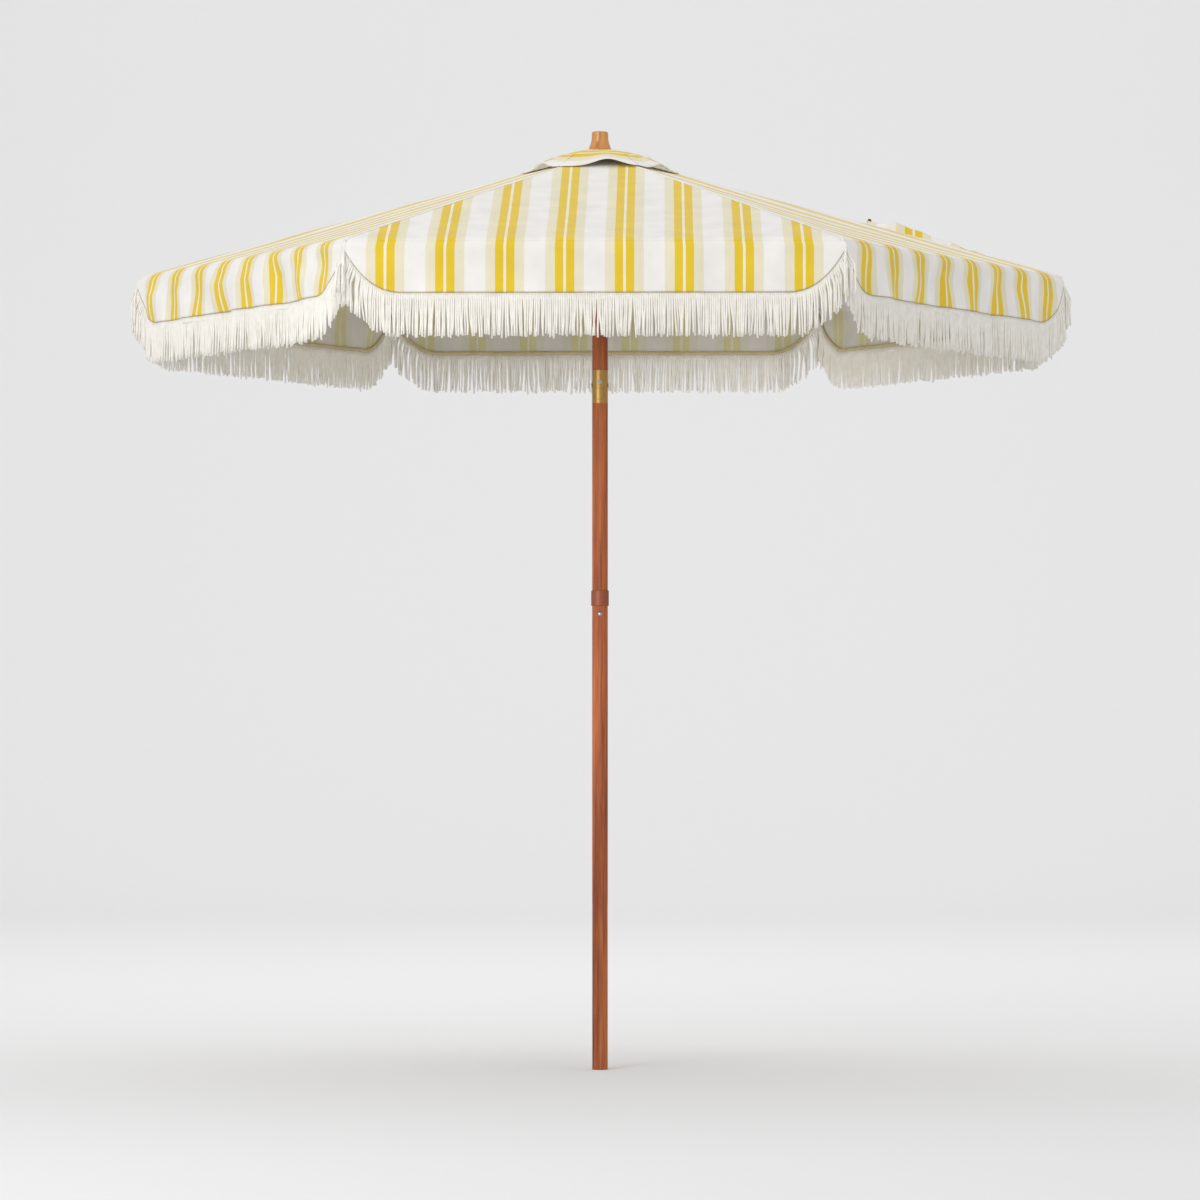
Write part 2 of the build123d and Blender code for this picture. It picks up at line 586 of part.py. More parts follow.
for k in range(RIBS):
    number = k + 1
    rib_at = k * STEP_DEG
    panel_at = (k + 0.5) * STEP_DEG
    save(f"rib_{number}", turned(rib(), rib_at))
    save(f"rib_fittings_{number}", turned(rib_fittings(), rib_at))
    save(f"stretcher_{number}", turned(stretcher(), rib_at))
    save(f"gore_{number}", turned(gore(), panel_at))
    save(f"valance_{number}", turned(valance(), panel_at))
    save(f"fringe_{number}", turned(fringe(), panel_at))

print("runner pivot z", round(RUNNER_PIVOT_Z, 2), "bracket along", round(BRACKET_ALONG, 2))
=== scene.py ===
# %% [markdown]
# # Beach umbrella
# The umbrella stands on its foot at the origin, +Z up, with its front panel facing -Y. The pole, tilt
# joint, hub, ribs and stretchers come finished from the CAD frame and only get their materials here.
# Everything made of cloth is modelled here: six roof panels, six valances with their fringe, the vent
# cap, the ridge seams and the closing strap.

# %% Load the frame
import json
import math
import random

import bpy
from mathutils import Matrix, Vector, noise


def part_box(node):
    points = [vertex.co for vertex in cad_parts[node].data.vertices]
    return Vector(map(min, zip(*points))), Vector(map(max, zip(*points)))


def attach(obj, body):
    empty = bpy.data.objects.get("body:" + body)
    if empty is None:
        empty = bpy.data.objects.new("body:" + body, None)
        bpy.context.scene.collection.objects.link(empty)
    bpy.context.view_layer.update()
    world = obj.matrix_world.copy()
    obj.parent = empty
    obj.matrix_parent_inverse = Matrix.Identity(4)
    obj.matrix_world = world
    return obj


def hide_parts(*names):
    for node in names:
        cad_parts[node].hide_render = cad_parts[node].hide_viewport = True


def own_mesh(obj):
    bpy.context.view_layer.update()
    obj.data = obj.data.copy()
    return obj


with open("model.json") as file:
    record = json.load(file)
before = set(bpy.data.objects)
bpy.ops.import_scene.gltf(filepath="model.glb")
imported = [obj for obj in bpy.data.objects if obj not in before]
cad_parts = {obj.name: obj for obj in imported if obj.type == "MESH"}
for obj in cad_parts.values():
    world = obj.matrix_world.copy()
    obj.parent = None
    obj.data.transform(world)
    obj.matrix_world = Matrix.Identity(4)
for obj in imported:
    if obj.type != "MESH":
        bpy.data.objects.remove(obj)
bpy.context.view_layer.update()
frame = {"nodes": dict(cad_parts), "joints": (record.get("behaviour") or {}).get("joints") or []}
joints = {joint["name"]: joint for joint in frame["joints"]}

# %% [markdown]
# ## Sizes
# The cloth has to fit the frame, so its sizes are read from it. The front valance's plate gives the
# apothem (axis to the middle of a side), the hem and the rim. The roof is a six-sided pyramid, and a
# panel's hinge at the crown lies on its face, so the hinge and the rim give the slope.

# %% Sizes read from the frame
PANELS = 6
FRONT = 5
STEP = 2 * math.pi / PANELS
HALF_TAN = math.tan(STEP / 2)
front_low, front_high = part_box(f"valance_{FRONT}")
fringe_low, fringe_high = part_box(f"fringe_{FRONT}")
APOTHEM = -front_low.y
RIM_Z = front_high.z + 0.0006
HEM_Z = front_low.z
FRINGE_BOTTOM_Z = fringe_low.z
crown_hinge = Vector(joints[f"gore_{FRONT}_fold"]["pos_m"])
CROWN_R = -crown_hinge.y
SLOPE = math.atan2(crown_hinge.z - RIM_Z, APOTHEM - CROWN_R)
APEX_Z = RIM_Z + APOTHEM * math.tan(SLOPE)
COLLAR_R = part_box("crown_collar")[1].x
FINIAL_BASE_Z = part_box("finial")[0].z
VENT_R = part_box("vent_cap")[1].x
VENT_APOTHEM = VENT_R * math.cos(STEP / 2) + 0.010
CLOTH = 0.0008
HEM_CORNER_WIDTH = 0.135
HEM_CORNER_RISE = 0.100
RIM_ROUND = 0.030
print(f"apothem {APOTHEM:.4f} rim {RIM_Z:.4f} hem {HEM_Z:.4f} slope {math.degrees(SLOPE):.2f} deg")


def azimuth(panel):
    """Direction that a panel faces, counted from +X."""
    return (panel - 0.5) * STEP


def place(panel, out, along, z):
    """A point given by its distance out from the axis, its distance along the side, and its height."""
    a = azimuth(panel)
    return Vector((out * math.cos(a) - along * math.sin(a), out * math.sin(a) + along * math.cos(a), z))


def tangent(panel):
    """Unit vector along a panel's side."""
    a = azimuth(panel)
    return Vector((-math.sin(a), math.cos(a), 0))


# %% [markdown]
# ## Helpers for meshes and materials
# Cloth is made from a grid primitive whose points are moved to the cut of the panel, as a sheet is
# cut and sewn. The UV map holds real metres across and along the cloth, so woven stripes keep their
# width and run on from one piece to the next.

# %% Mesh helpers
def deselect_all():
    """Leave nothing selected and nothing in edit mode."""
    if bpy.context.object and bpy.context.object.mode != "OBJECT":
        bpy.ops.object.mode_set(mode="OBJECT")
    bpy.ops.object.select_all(action="DESELECT")


def take(obj):
    """Make obj the only selected object."""
    deselect_all()
    obj.select_set(True)
    bpy.context.view_layer.objects.active = obj


def apply_modifier(obj, kind, **settings):
    """Add one modifier, set it and apply it."""
    take(obj)
    modifier = obj.modifiers.new(kind.title(), kind)
    for key, value in settings.items():
        setattr(modifier, key, value)
    bpy.ops.object.modifier_apply(modifier=modifier.name)


def cloth_grid(name, columns, rows, surface, faces, thickness=CLOTH):
    """A sheet of cloth. surface(s, t) gives a point and its (across, along) in metres; s, t are 0 to 1.

    faces are the materials of its face and its reverse.
    """
    deselect_all()
    bpy.ops.mesh.primitive_grid_add(x_subdivisions=columns, y_subdivisions=rows, size=1, location=(0, 0, 0))
    sheet = bpy.context.object
    sheet.name = name
    sheet.data.name = name
    cut = []
    for vertex in sheet.data.vertices:
        # s runs against X, so that the cloth's face comes out on top
        point, flat = surface(0.5 - vertex.co.x, vertex.co.y + 0.5)
        vertex.co = point
        cut.append(flat)
    layer = sheet.data.uv_layers.active or sheet.data.uv_layers.new(name="cloth")
    for loop in sheet.data.loops:
        layer.data[loop.index].uv = cut[loop.vertex_index]
    sheet.data.update()
    bpy.ops.object.shade_smooth()
    for finish in faces:
        sheet.data.materials.append(finish)
    # the reverse takes the second material, where there is one
    reverse = len(faces) - 1
    apply_modifier(
        sheet, "SOLIDIFY", thickness=thickness, offset=-1, use_even_offset=True, material_offset=reverse
    )
    return sheet


def joined(name, verts, faces, smooth=True):
    """One mesh object from points and faces, in place."""
    mesh = bpy.data.meshes.new(name)
    mesh.from_pydata(verts, [], faces)
    mesh.update()
    obj = bpy.data.objects.new(name, mesh)
    bpy.context.collection.objects.link(obj)
    take(obj)
    if smooth:
        bpy.ops.object.shade_smooth()
    return obj


# %% Material helpers
def srgb(code):
    """An sRGB hex colour as linear RGBA."""
    channels = [int(code[i : i + 2], 16) / 255 for i in (1, 3, 5)]
    linear = [c / 12.92 if c <= 0.04045 else ((c + 0.055) / 1.055) ** 2.4 for c in channels]
    return (*linear, 1.0)


def node(tree, kind, settings=None, inputs=None):
    """Add one node, set it, and set or link its inputs."""
    made = tree.nodes.new(kind)
    for key, value in (settings or {}).items():
        setattr(made, key, value)
    for key, value in (inputs or {}).items():
        socket = made.inputs[key]
        if isinstance(value, bpy.types.NodeSocket):
            tree.links.new(value, socket)
        else:
            socket.default_value = value
    return made


def new_material(name):
    """An empty node material and its shader and tree."""
    material = bpy.data.materials.new(name)
    material.use_nodes = True
    tree = material.node_tree
    shader = tree.nodes["Principled BSDF"]
    return material, tree, shader


def ramp(tree, factor, stops, interpolation="LINEAR"):
    """A colour ramp through (position, hex colour) stops."""
    made = node(tree, "ShaderNodeValToRGB", inputs={"Fac": factor})
    made.color_ramp.interpolation = interpolation
    elements = made.color_ramp.elements
    while len(elements) < len(stops):
        elements.new(1.0)
    for element, (position, code) in zip(elements, stops):
        element.position = position
        element.color = srgb(code)
    return made.outputs["Color"]


def bump(tree, height, strength, distance):
    """A bump normal from a height."""
    settings = {"Height": height, "Strength": strength, "Distance": distance}
    return node(tree, "ShaderNodeBump", inputs=settings).outputs["Normal"]


# %% [markdown]
# ## Canvas
# The canopy is cotton canvas with woven stripes. Every 133 mm there is a white band, a cream band
# each side of it, and then a double yellow stripe. The pattern is the same both ways from the middle
# of a white band, so a ping-pong of the distance across gives the distance from that middle and one
# ramp colours it. Real canvas has about 20 threads a centimetre, too fine to show, so the weave is
# drawn 1.5 mm coarse.

# %% Canvas material
STRIPE_PERIOD = 0.133
WHITE_HALF = 0.0235
CREAM_TO = 0.0450
YELLOW_TO = 0.0635
WEAVE_PITCH = 0.0015
# white, cream, yellow and the thin line between the two yellows, on each face
FACE_COLOURS = ("#F6F3EE", "#EEE6C8", "#EBC92F", "#F5EFD6")
# the reverse's colours hold painted shade, as the underside lies in the canopy's shade; its yellows are also
# a paler dye
SHADED_REVERSE_COLOURS = ("#D9D3CD", "#D5D0C2", "#D0C99B", "#D8D2BE")


def canvas_material(name, colours, across_cloth="X", shift=0.0):
    """Striped canvas. Stripes run square to the UV direction across_cloth."""
    material, tree, shader = new_material(name)
    uv = node(tree, "ShaderNodeTexCoord").outputs["UV"]
    split = node(tree, "ShaderNodeSeparateXYZ", inputs={0: uv})
    # yarns wander a little, so the stripe's edges do too
    wander = node(tree, "ShaderNodeTexNoise", inputs={"Vector": uv, "Scale": 90.0, "Detail": 2.0})
    drift = node(
        tree,
        "ShaderNodeMath",
        {"operation": "MULTIPLY_ADD"},
        {0: wander.outputs["Fac"], 1: 0.0012, 2: shift - 0.0006},
    )
    across = node(
        tree, "ShaderNodeMath", {"operation": "ADD"}, {0: split.outputs[across_cloth], 1: drift.outputs[0]}
    )
    half = STRIPE_PERIOD / 2
    from_middle = node(tree, "ShaderNodeMath", {"operation": "PINGPONG"}, {0: across.outputs[0], 1: half})
    place_in = node(tree, "ShaderNodeMath", {"operation": "DIVIDE"}, {0: from_middle.outputs[0], 1: half})
    edge = 0.006
    white, cream, yellow, line = colours
    stops = [
        (WHITE_HALF / half - 2 * edge, white),
        (WHITE_HALF / half + 2 * edge, cream),
        (CREAM_TO / half - edge, cream),
        (CREAM_TO / half + edge, yellow),
        (YELLOW_TO / half - edge, yellow),
        (YELLOW_TO / half + edge, line),
    ]
    stripes = ramp(tree, place_in.outputs[0], stops)
    mottle = node(tree, "ShaderNodeTexNoise", inputs={"Vector": uv, "Scale": 14.0, "Detail": 4.0})
    tone = ramp(tree, mottle.outputs["Fac"], [(0.3, "#F4F4F4"), (0.7, "#FFFFFF")])
    dyed = node(
        tree, "ShaderNodeMix", {"data_type": "RGBA", "blend_type": "MULTIPLY"}, {0: 1.0, 6: stripes, 7: tone}
    )
    tree.links.new(dyed.outputs[2], shader.inputs["Base Color"])
    weave = node(
        tree,
        "ShaderNodeTexChecker",
        inputs={"Vector": uv, "Scale": 1 / WEAVE_PITCH, "Color1": (1, 1, 1, 1), "Color2": (0, 0, 0, 1)},
    )
    slub = node(tree, "ShaderNodeTexNoise", inputs={"Vector": uv, "Scale": 260.0, "Detail": 3.0})
    heights = {0: weave.outputs["Fac"], 1: 0.35, 2: slub.outputs["Fac"]}
    relief = node(tree, "ShaderNodeMath", {"operation": "MULTIPLY_ADD"}, heights)
    tree.links.new(bump(tree, relief.outputs[0], 0.25, 0.0004), shader.inputs["Normal"])
    shader.inputs["Roughness"].default_value = 0.85
    shader.inputs["Sheen Weight"].default_value = 0.15
    shader.inputs["Specular IOR Level"].default_value = 0.3
    return material


canvas = canvas_material("striped_canvas", FACE_COLOURS)
# the dye is paler on the cloth's reverse, and its colours are also darkened with painted shade for the
# canopy's shaded underside
shaded_canvas_reverse = canvas_material("striped_canvas_reverse", SHADED_REVERSE_COLOURS)
# on the vent cap and the strap the stripes run the other way; the shift sets where they fall
cap_canvas = canvas_material("striped_canvas_crosswise", FACE_COLOURS, "Y", -0.032)
# the cap's reverse takes the same colours, with their painted shade
shaded_cap_reverse = canvas_material("striped_canvas_crosswise_reverse_shaded", SHADED_REVERSE_COLOURS, "Y", -0.032)
# daylight comes through the cap's single layer of cloth, and warms its underside
through = shaded_cap_reverse.node_tree.nodes["Principled BSDF"]
through.inputs["Subsurface Weight"].default_value = 1.0
through.inputs["Subsurface Radius"].default_value = (1.0, 0.85, 0.5)
through.inputs["Subsurface Scale"].default_value = 0.020
print(f"canvas: a stripe repeat is {STRIPE_PERIOD * 1000:.0f} mm")


# %% [markdown]
# ## Roof panels
# Each roof panel is a triangle of canvas stretched between two ribs. It is pulled straight along its
# ridges and dips a few millimetres between them. At the rim the cloth rolls over into the valance, so
# the panel's last stretch is an arc that ends halfway round, and the valance goes on from there.

# %% Roof panels
ROUND_TURN = math.pi / 2 - SLOPE
ROUND_TANGENT = RIM_ROUND * math.tan(ROUND_TURN / 2)
ROUND_ARC = RIM_ROUND * ROUND_TURN
ROOF_INNER = 0.0255
ROOF_DIP = 0.009
ROOF_RIPPLE = 0.004
ROOF_STRAIGHT = (APOTHEM - ROOF_INNER) / math.cos(SLOPE) - ROUND_TANGENT


def roof_profile(length):
    """Distance out and height of the roof's middle line, length metres down from its inner edge."""
    if length <= ROOF_STRAIGHT:
        out = ROOF_INNER + length * math.cos(SLOPE)
        return out, APEX_Z - out * math.tan(SLOPE)
    turn = SLOPE + (length - ROOF_STRAIGHT) / RIM_ROUND
    start_out = ROOF_INNER + ROOF_STRAIGHT * math.cos(SLOPE)
    start_z = APEX_Z - start_out * math.tan(SLOPE)
    out = start_out + RIM_ROUND * (math.sin(turn) - math.sin(SLOPE))
    return out, start_z - RIM_ROUND * (math.cos(SLOPE) - math.cos(turn))


ROOF_LENGTH = ROOF_STRAIGHT + ROUND_ARC / 2
SHARED_OUT, SHARED_Z = roof_profile(ROOF_LENGTH)
print(f"roof and valance meet {SHARED_OUT:.4f} out at height {SHARED_Z:.4f}")


def roof_surface(panel):
    """Where a roof panel's cloth lies."""

    def surface(s, t):
        # rows are closer together round the rim
        length = ROOF_LENGTH * (1 - (1 - t) ** 1.35)
        out, z = roof_profile(length)
        side = 2 * s - 1
        along = side * out * HALF_TAN
        share = length / ROOF_LENGTH
        inside = (1 - side * side) * math.sin(math.pi * share) ** 0.8 if 0 < share < 1 else 0
        ripple = noise.noise(Vector((along * 4, length * 3, panel * 7.3)))
        z -= inside * (ROOF_DIP * share + ROOF_RIPPLE * ripple)
        return place(panel, out, along, z), (along, length)

    return surface


def roof_panel(panel):
    """Model one roof panel."""
    sheet = cloth_grid(f"roof_panel_{panel}", 56, 60, roof_surface(panel), (canvas, shaded_canvas_reverse))
    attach(sheet, f"gore_{panel}")
    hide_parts(f"gore_{panel}")
    return sheet


def fold_up(piece):
    """Give the piece its own copy of its mesh."""
    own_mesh(piece)


roof_panels = [roof_panel(panel) for panel in range(1, PANELS + 1)]
print(len(roof_panels), "roof panels, cloth length", round(ROOF_LENGTH, 4))

# %% [markdown]
# ## Valances
# A valance is the deep band below the rim. It hangs free, so it buckles gently, more on some sides
# than on others, and its lower corners are cut round so that each side ends in a scallop.

# %% Valances
# how far each side's cloth buckles
BUCKLE = {1: 0.008, 2: 0.004, 3: 0.007, 4: 0.011, 5: 0.0025, 6: 0.010}
HALF_SIDE = SHARED_OUT * HALF_TAN
VALANCE_DROP = SHARED_Z - HEM_Z


def hem_drop(along):
    """Drop from the shared edge to the hem at a distance along its side. The hem rises to its corners."""
    into_corner = max(0.0, abs(along) - (HALF_SIDE - HEM_CORNER_WIDTH)) / HEM_CORNER_WIDTH
    return VALANCE_DROP - HEM_CORNER_RISE * into_corner**2.4


def buckle(panel, along, drop):
    """How far the hanging cloth stands out from its plane."""
    side = along / HALF_SIDE
    free = max(0.0, 1 - side**8) * min(1.0, drop / 0.05) ** 1.5
    wide = noise.noise(Vector((along * 9, drop * 7, panel * 3.1)))
    fine = noise.noise(Vector((along * 24, drop * 11, panel * 5.7)))
    return BUCKLE[panel] * free * (1.9 * wide + 0.8 * fine)


def hanging_profile(drop):
    """Distance out and height after the cloth has rolled over the rim and hung down by drop."""
    if drop < ROUND_ARC / 2:
        turn = SLOPE + ROUND_TURN / 2 + drop / RIM_ROUND
        half_turn = SLOPE + ROUND_TURN / 2
        out = SHARED_OUT + RIM_ROUND * (math.sin(turn) - math.sin(half_turn))
        return out, SHARED_Z - RIM_ROUND * (math.cos(half_turn) - math.cos(turn))
    out, z = hanging_profile(ROUND_ARC / 2 - 1e-9)
    return out, z - (drop - ROUND_ARC / 2)


def valance_point(panel, along, drop):
    """A point on a valance, drop metres of cloth below the shared edge."""
    out, z = hanging_profile(drop)
    scale = out / SHARED_OUT
    return place(panel, out + buckle(panel, along, drop), along * scale, z)


# cloth from the shared edge to the hem is a little longer than the drop, because it rolls first
ROLL_EXTRA = ROUND_ARC / 2 - (SHARED_Z - hanging_profile(ROUND_ARC / 2)[1])


def valance_surface(panel):
    """Where a valance's cloth lies."""

    def surface(s, t):
        # columns are closer together at the corners, and rows at the rim
        side = math.sin((s - 0.5) * math.pi) * 0.35 + (2 * s - 1) * 0.65
        along = side * HALF_SIDE
        drop = t**1.5 * (hem_drop(along) + ROLL_EXTRA)
        return valance_point(panel, along, drop), (along, ROOF_LENGTH + drop)

    return surface


def valance(panel):
    """Model one valance."""
    sheet = cloth_grid(f"valance_cloth_{panel}", 120, 24, valance_surface(panel), (canvas, shaded_canvas_reverse))
    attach(sheet, f"valance_{panel}")
    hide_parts(f"valance_{panel}")
    return sheet


valances = [valance(panel) for panel in range(1, PANELS + 1)]
print(len(valances), "valances, drop", round(VALANCE_DROP, 4))

# %% [markdown]
# ## Fringe
# Cotton fringe is sold by the metre: a woven heading with loose cords hanging from it. It is sewn
# behind the hem, so it follows the scallops, while the cords hang straight down. One cord is modelled
# as a thin five-sided tube and then copied along the heading, each copy bent, swung and cut a little
# differently.

# %% Fringe sizes and material
FRINGE_LENGTH = HEM_Z - FRINGE_BOTTOM_Z
CORD_R = 0.0026
CORD_PITCH = 0.0050
SPLAY = 0.020
CORD_RINGS = 6
HEADING_DEPTH = 0.013
HEADING_LAP = 0.004
HEADING_THICK = 0.0016
HEADING_BACK = 0.0012
CORD_LEAN = 0.0005
CORD_SHORT = 0.004


def fringe_material(name, shades, twist_pitch):
    """Undyed cotton, darker in the turns of its twist."""
    material, tree, shader = new_material(name)
    coords = node(tree, "ShaderNodeTexCoord").outputs["Object"]
    blotch = node(tree, "ShaderNodeTexNoise", inputs={"Vector": coords, "Scale": 60.0, "Detail": 3.0})
    colour = ramp(tree, blotch.outputs["Fac"], [(0.3, shades[0]), (0.7, shades[1])])
    tree.links.new(colour, shader.inputs["Base Color"])
    twist = node(
        tree,
        "ShaderNodeTexWave",
        {"bands_direction": "DIAGONAL"},
        {"Vector": coords, "Scale": 1 / twist_pitch / 3.2, "Distortion": 0.6},
    )
    tree.links.new(bump(tree, twist.outputs["Fac"], 0.35, 0.0005), shader.inputs["Normal"])
    shader.inputs["Roughness"].default_value = 0.9
    shader.inputs["Sheen Weight"].default_value = 0.25
    shader.inputs["Specular IOR Level"].default_value = 0.25
    return material


cord_cotton = fringe_material("twisted_cotton_cord", ("#F1EDE3", "#FBF8F1"), 0.003)
heading_cotton = fringe_material("woven_cotton_heading", ("#F3EFE6", "#FBF9F3"), 0.002)
tape_cotton = fringe_material("hem_tape_cotton", ("#BFB084", "#CBBE97"), 0.002)
# the thread's brownish colour is partly stitching and partly painted shade, the dark line along the hem's
# edge
hem_thread_and_shade = fringe_material("hem_thread_and_shade", ("#A3936A", "#B8A983"), 0.003)
print("fringe", round(FRINGE_LENGTH, 3), "long, a cord every", CORD_PITCH)


def hem_line(pitch):
    """Evenly spaced points along one side's hem: distance along, drop, and the way out of the cloth."""
    fine = 2000
    raw = []
    for i in range(fine + 1):
        along = -HALF_SIDE * math.cos(math.pi * i / fine)
        raw.append((along, hem_drop(along)))
    lengths = [0.0]
    for (a0, d0), (a1, d1) in zip(raw, raw[1:]):
        lengths.append(lengths[-1] + math.hypot(a1 - a0, d1 - d0))
    count = round(lengths[-1] / pitch)
    points = []
    i = 0
    for k in range(count + 1):
        wanted = lengths[-1] * k / count
        while i < fine - 1 and lengths[i + 1] < wanted:
            i += 1
        (a0, d0), (a1, d1) = raw[i], raw[i + 1]
        share = (wanted - lengths[i]) / max(1e-9, lengths[i + 1] - lengths[i])
        run = math.hypot(a1 - a0, d1 - d0)
        # square to the hem, turned most of the way to straight down
        out_along, out_drop = -(d1 - d0) / run * 0.4, (a1 - a0) / run * 0.4 + 0.6
        size = math.hypot(out_along, out_drop)
        points.append((a0 + share * (a1 - a0), d0 + share * (d1 - d0), out_along / size, out_drop / size))
    return points


def behind(panel, along, drop, back):
    """A point on the valance's cloth, moved back towards the inside."""
    inside = place(panel, -back, 0, 0)
    return valance_point(panel, along, drop + ROLL_EXTRA) + Vector((inside.x, inside.y, 0))


# %% Hem band and heading
def band(name, panel, pitch, from_hem, to_hem, back, thickness, material):
    """A narrow strip that follows the hem, from_hem to to_hem below it, back from the cloth's face."""
    line = hem_line(pitch)
    verts = []
    for along, drop, out_along, out_drop in line:
        for step in (from_hem, (from_hem + to_hem) / 2, to_hem):
            verts.append(behind(panel, along + step * out_along, drop + step * out_drop, back))
    faces = []
    for i in range(len(line) - 1):
        for j in (0, 1):
            faces.append((3 * i + j, 3 * i + j + 1, 3 * i + j + 4, 3 * i + j + 3))
    strip = joined(name, verts, faces)
    apply_modifier(strip, "SOLIDIFY", thickness=thickness, offset=-1)
    strip.data.materials.append(material)
    return strip


# %% Model cord and fringe
deselect_all()
bpy.ops.mesh.primitive_cylinder_add(
    vertices=5, radius=1, depth=1, location=(0, 0, 0.5), end_fill_type="TRIFAN"
)
model_cord = bpy.context.object
bpy.ops.object.mode_set(mode="EDIT")
for cut in range(1, CORD_RINGS):
    bpy.ops.mesh.select_all(action="SELECT")
    bpy.ops.mesh.bisect(plane_co=(0, 0, cut / CORD_RINGS), plane_no=(0, 0, 1))
bpy.ops.object.mode_set(mode="OBJECT")
cord_points = [model_cord.matrix_basis @ vertex.co for vertex in model_cord.data.vertices]
cord_faces = [tuple(face.vertices) for face in model_cord.data.polygons]
bpy.data.objects.remove(model_cord)
print("model cord:", len(cord_faces), "faces")


def cords(panel):
    """All the loose cords of one side, as one mesh."""
    rng = random.Random(100 + panel)
    verts, faces = [], []
    across, outwards = tangent(panel), place(panel, 1, 0, 0)
    drift = rng.uniform(0, 50)
    for index, (along, drop, out_along, out_drop) in enumerate(hem_line(CORD_PITCH)):
        start_along, start_drop = along + CORD_LEAN * out_along, drop + CORD_LEAN * out_drop
        top = behind(panel, start_along, start_drop, HEADING_BACK + HEADING_THICK / 2)
        # at the corners the heading points sideways, so the cords stand out before they fall
        corner = max(0.0, (abs(along) - HALF_SIDE + HEM_CORNER_WIDTH) / HEM_CORNER_WIDTH) ** 2
        splay = math.copysign(SPLAY * corner, along) * rng.uniform(0.3, 1.1)
        length = FRINGE_LENGTH - CORD_LEAN - CORD_SHORT + rng.gauss(0, 0.0028)
        clump = noise.noise(Vector((index * 0.22, drift, 0)))
        sway = rng.gauss(0, 0.0022) + 0.006 * clump
        swing = rng.gauss(0, 0.0022)
        wave = rng.gauss(0, 0.0011)
        phase = rng.uniform(0, 2 * math.pi)
        thick = CORD_R * rng.uniform(0.88, 1.1)
        start = len(verts)
        for x, y, z in cord_points:
            f = 1 - z
            spread = min(1.0, 3 * f)
            side = sway * f**1.5 + wave * f * math.sin(2 * math.pi * 0.9 * f + phase) + splay * spread
            out = swing * f**1.4 + wave * f * math.cos(5 * f + phase) + 0.4 * abs(splay) * spread
            r = thick * (1 - 0.15 * f)
            below = Vector((0, 0, length * f))
            verts.append(top + across * (side + r * x) + outwards * (out + r * y) - below)
        faces.extend(tuple(start + i for i in face) for face in cord_faces)
    made = joined(f"fringe_cords_{panel}", verts, faces)
    made.data.materials.append(cord_cotton)
    return made


def hem_pieces(panel):
    """Heading, tape and a brownish stitch line along one side's hem, partly painted shade of the hem's edge,
    and the cords that hang from it.
    """
    # each strip: pitch, from and to below the hem, back from the cloth's face, thickness
    heading = band(
        f"fringe_heading_{panel}",
        panel,
        0.008,
        -HEADING_LAP,
        HEADING_DEPTH,
        HEADING_BACK,
        HEADING_THICK,
        heading_cotton,
    )
    tape = band(f"hem_tape_{panel}", panel, 0.010, -0.009, -0.0002, 0.0030, 0.0008, tape_cotton)
    # a thin brownish strip on the cloth's face just above the hem: partly stitching, partly painted shade
    # along the hem's edge
    stitch_shade_strip = band(f"hem_stitch_shade_strip_{panel}", panel, 0.008, -0.0022, -0.0006, -0.0003, 0.0003, hem_thread_and_shade)
    return heading, tape, stitch_shade_strip, cords(panel)


fringes = {}
for panel in range(1, PANELS + 1):
    fringes[panel] = hem_pieces(panel)
    for piece in fringes[panel]:
        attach(piece, f"valance_{panel}")
        fold_up(piece)
    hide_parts(f"fringe_{panel}")

for panel, (roof, side) in enumerate(zip(roof_panels, valances), start=1):
    fold_up(roof)
    fold_up(side)
print("cords on each side:", len(hem_line(CORD_PITCH)), "each", round(FRINGE_LENGTH, 3), "long")

# %% [markdown]
# ## Vent cap
# The cap is a small hexagon of the same canvas, cut so that its stripes run round the crown. It covers
# the hole that lets wind out. Only its middle is held, under the finial, so it puffs up a little and
# its hem lifts off the roof in a few places.

# %% Vent cap
CAP_INNER = COLLAR_R - 0.003
CAP_RISE = 0.0030
CAP_TOP_Z = FINIAL_BASE_Z - 0.0002
CAP_TOP_SLOPE = math.radians(5.0)
CAP_EDGE_SLOPE = math.radians(31.0)
CAP_CURVE = 0.009
# where the hem lifts: direction in degrees from +X, half width in degrees, height
HEM_LIFTS = [
    (277, 15, 0.018),
    (213, 13, 0.016),
    (333, 13, 0.014),
    (52, 17, 0.062),
    (122, 14, 0.012),
    (160, 12, 0.008),
]
CAP_HEM_Z = APEX_Z - VENT_APOTHEM * math.tan(SLOPE) + CAP_RISE


def cap_hem_lift(angle):
    """How far the cap's hem stands off the roof in one direction, in radians from +X."""
    lift = 0.0
    for centre, width, height in HEM_LIFTS:
        apart = math.remainder(angle - math.radians(centre), 2 * math.pi)
        lift += height * math.exp(-((apart / math.radians(width)) ** 2))
    return lift


def cap_surface(panel):
    """Where one side of the cap lies."""

    def surface(s, t):
        out = CAP_INNER + (VENT_APOTHEM - CAP_INNER) * t
        along = (2 * s - 1) * out * HALF_TAN
        angle = azimuth(panel) + math.atan2(along, out)
        middle = CAP_TOP_Z - (out - CAP_INNER) * math.tan(CAP_TOP_SLOPE)
        edge = CAP_HEM_Z + (VENT_APOTHEM - out) * math.tan(CAP_EDGE_SLOPE)
        # the lower of the two slopes, rounded where they meet
        z = -CAP_CURVE * math.log(math.exp(-middle / CAP_CURVE) + math.exp(-edge / CAP_CURVE))
        z += cap_hem_lift(angle) * t**3
        z += 0.002 * noise.noise(Vector((along * 20, out * 20, panel))) * math.sin(math.pi * t)
        return place(panel, out, along, z), (along, out)

    return surface


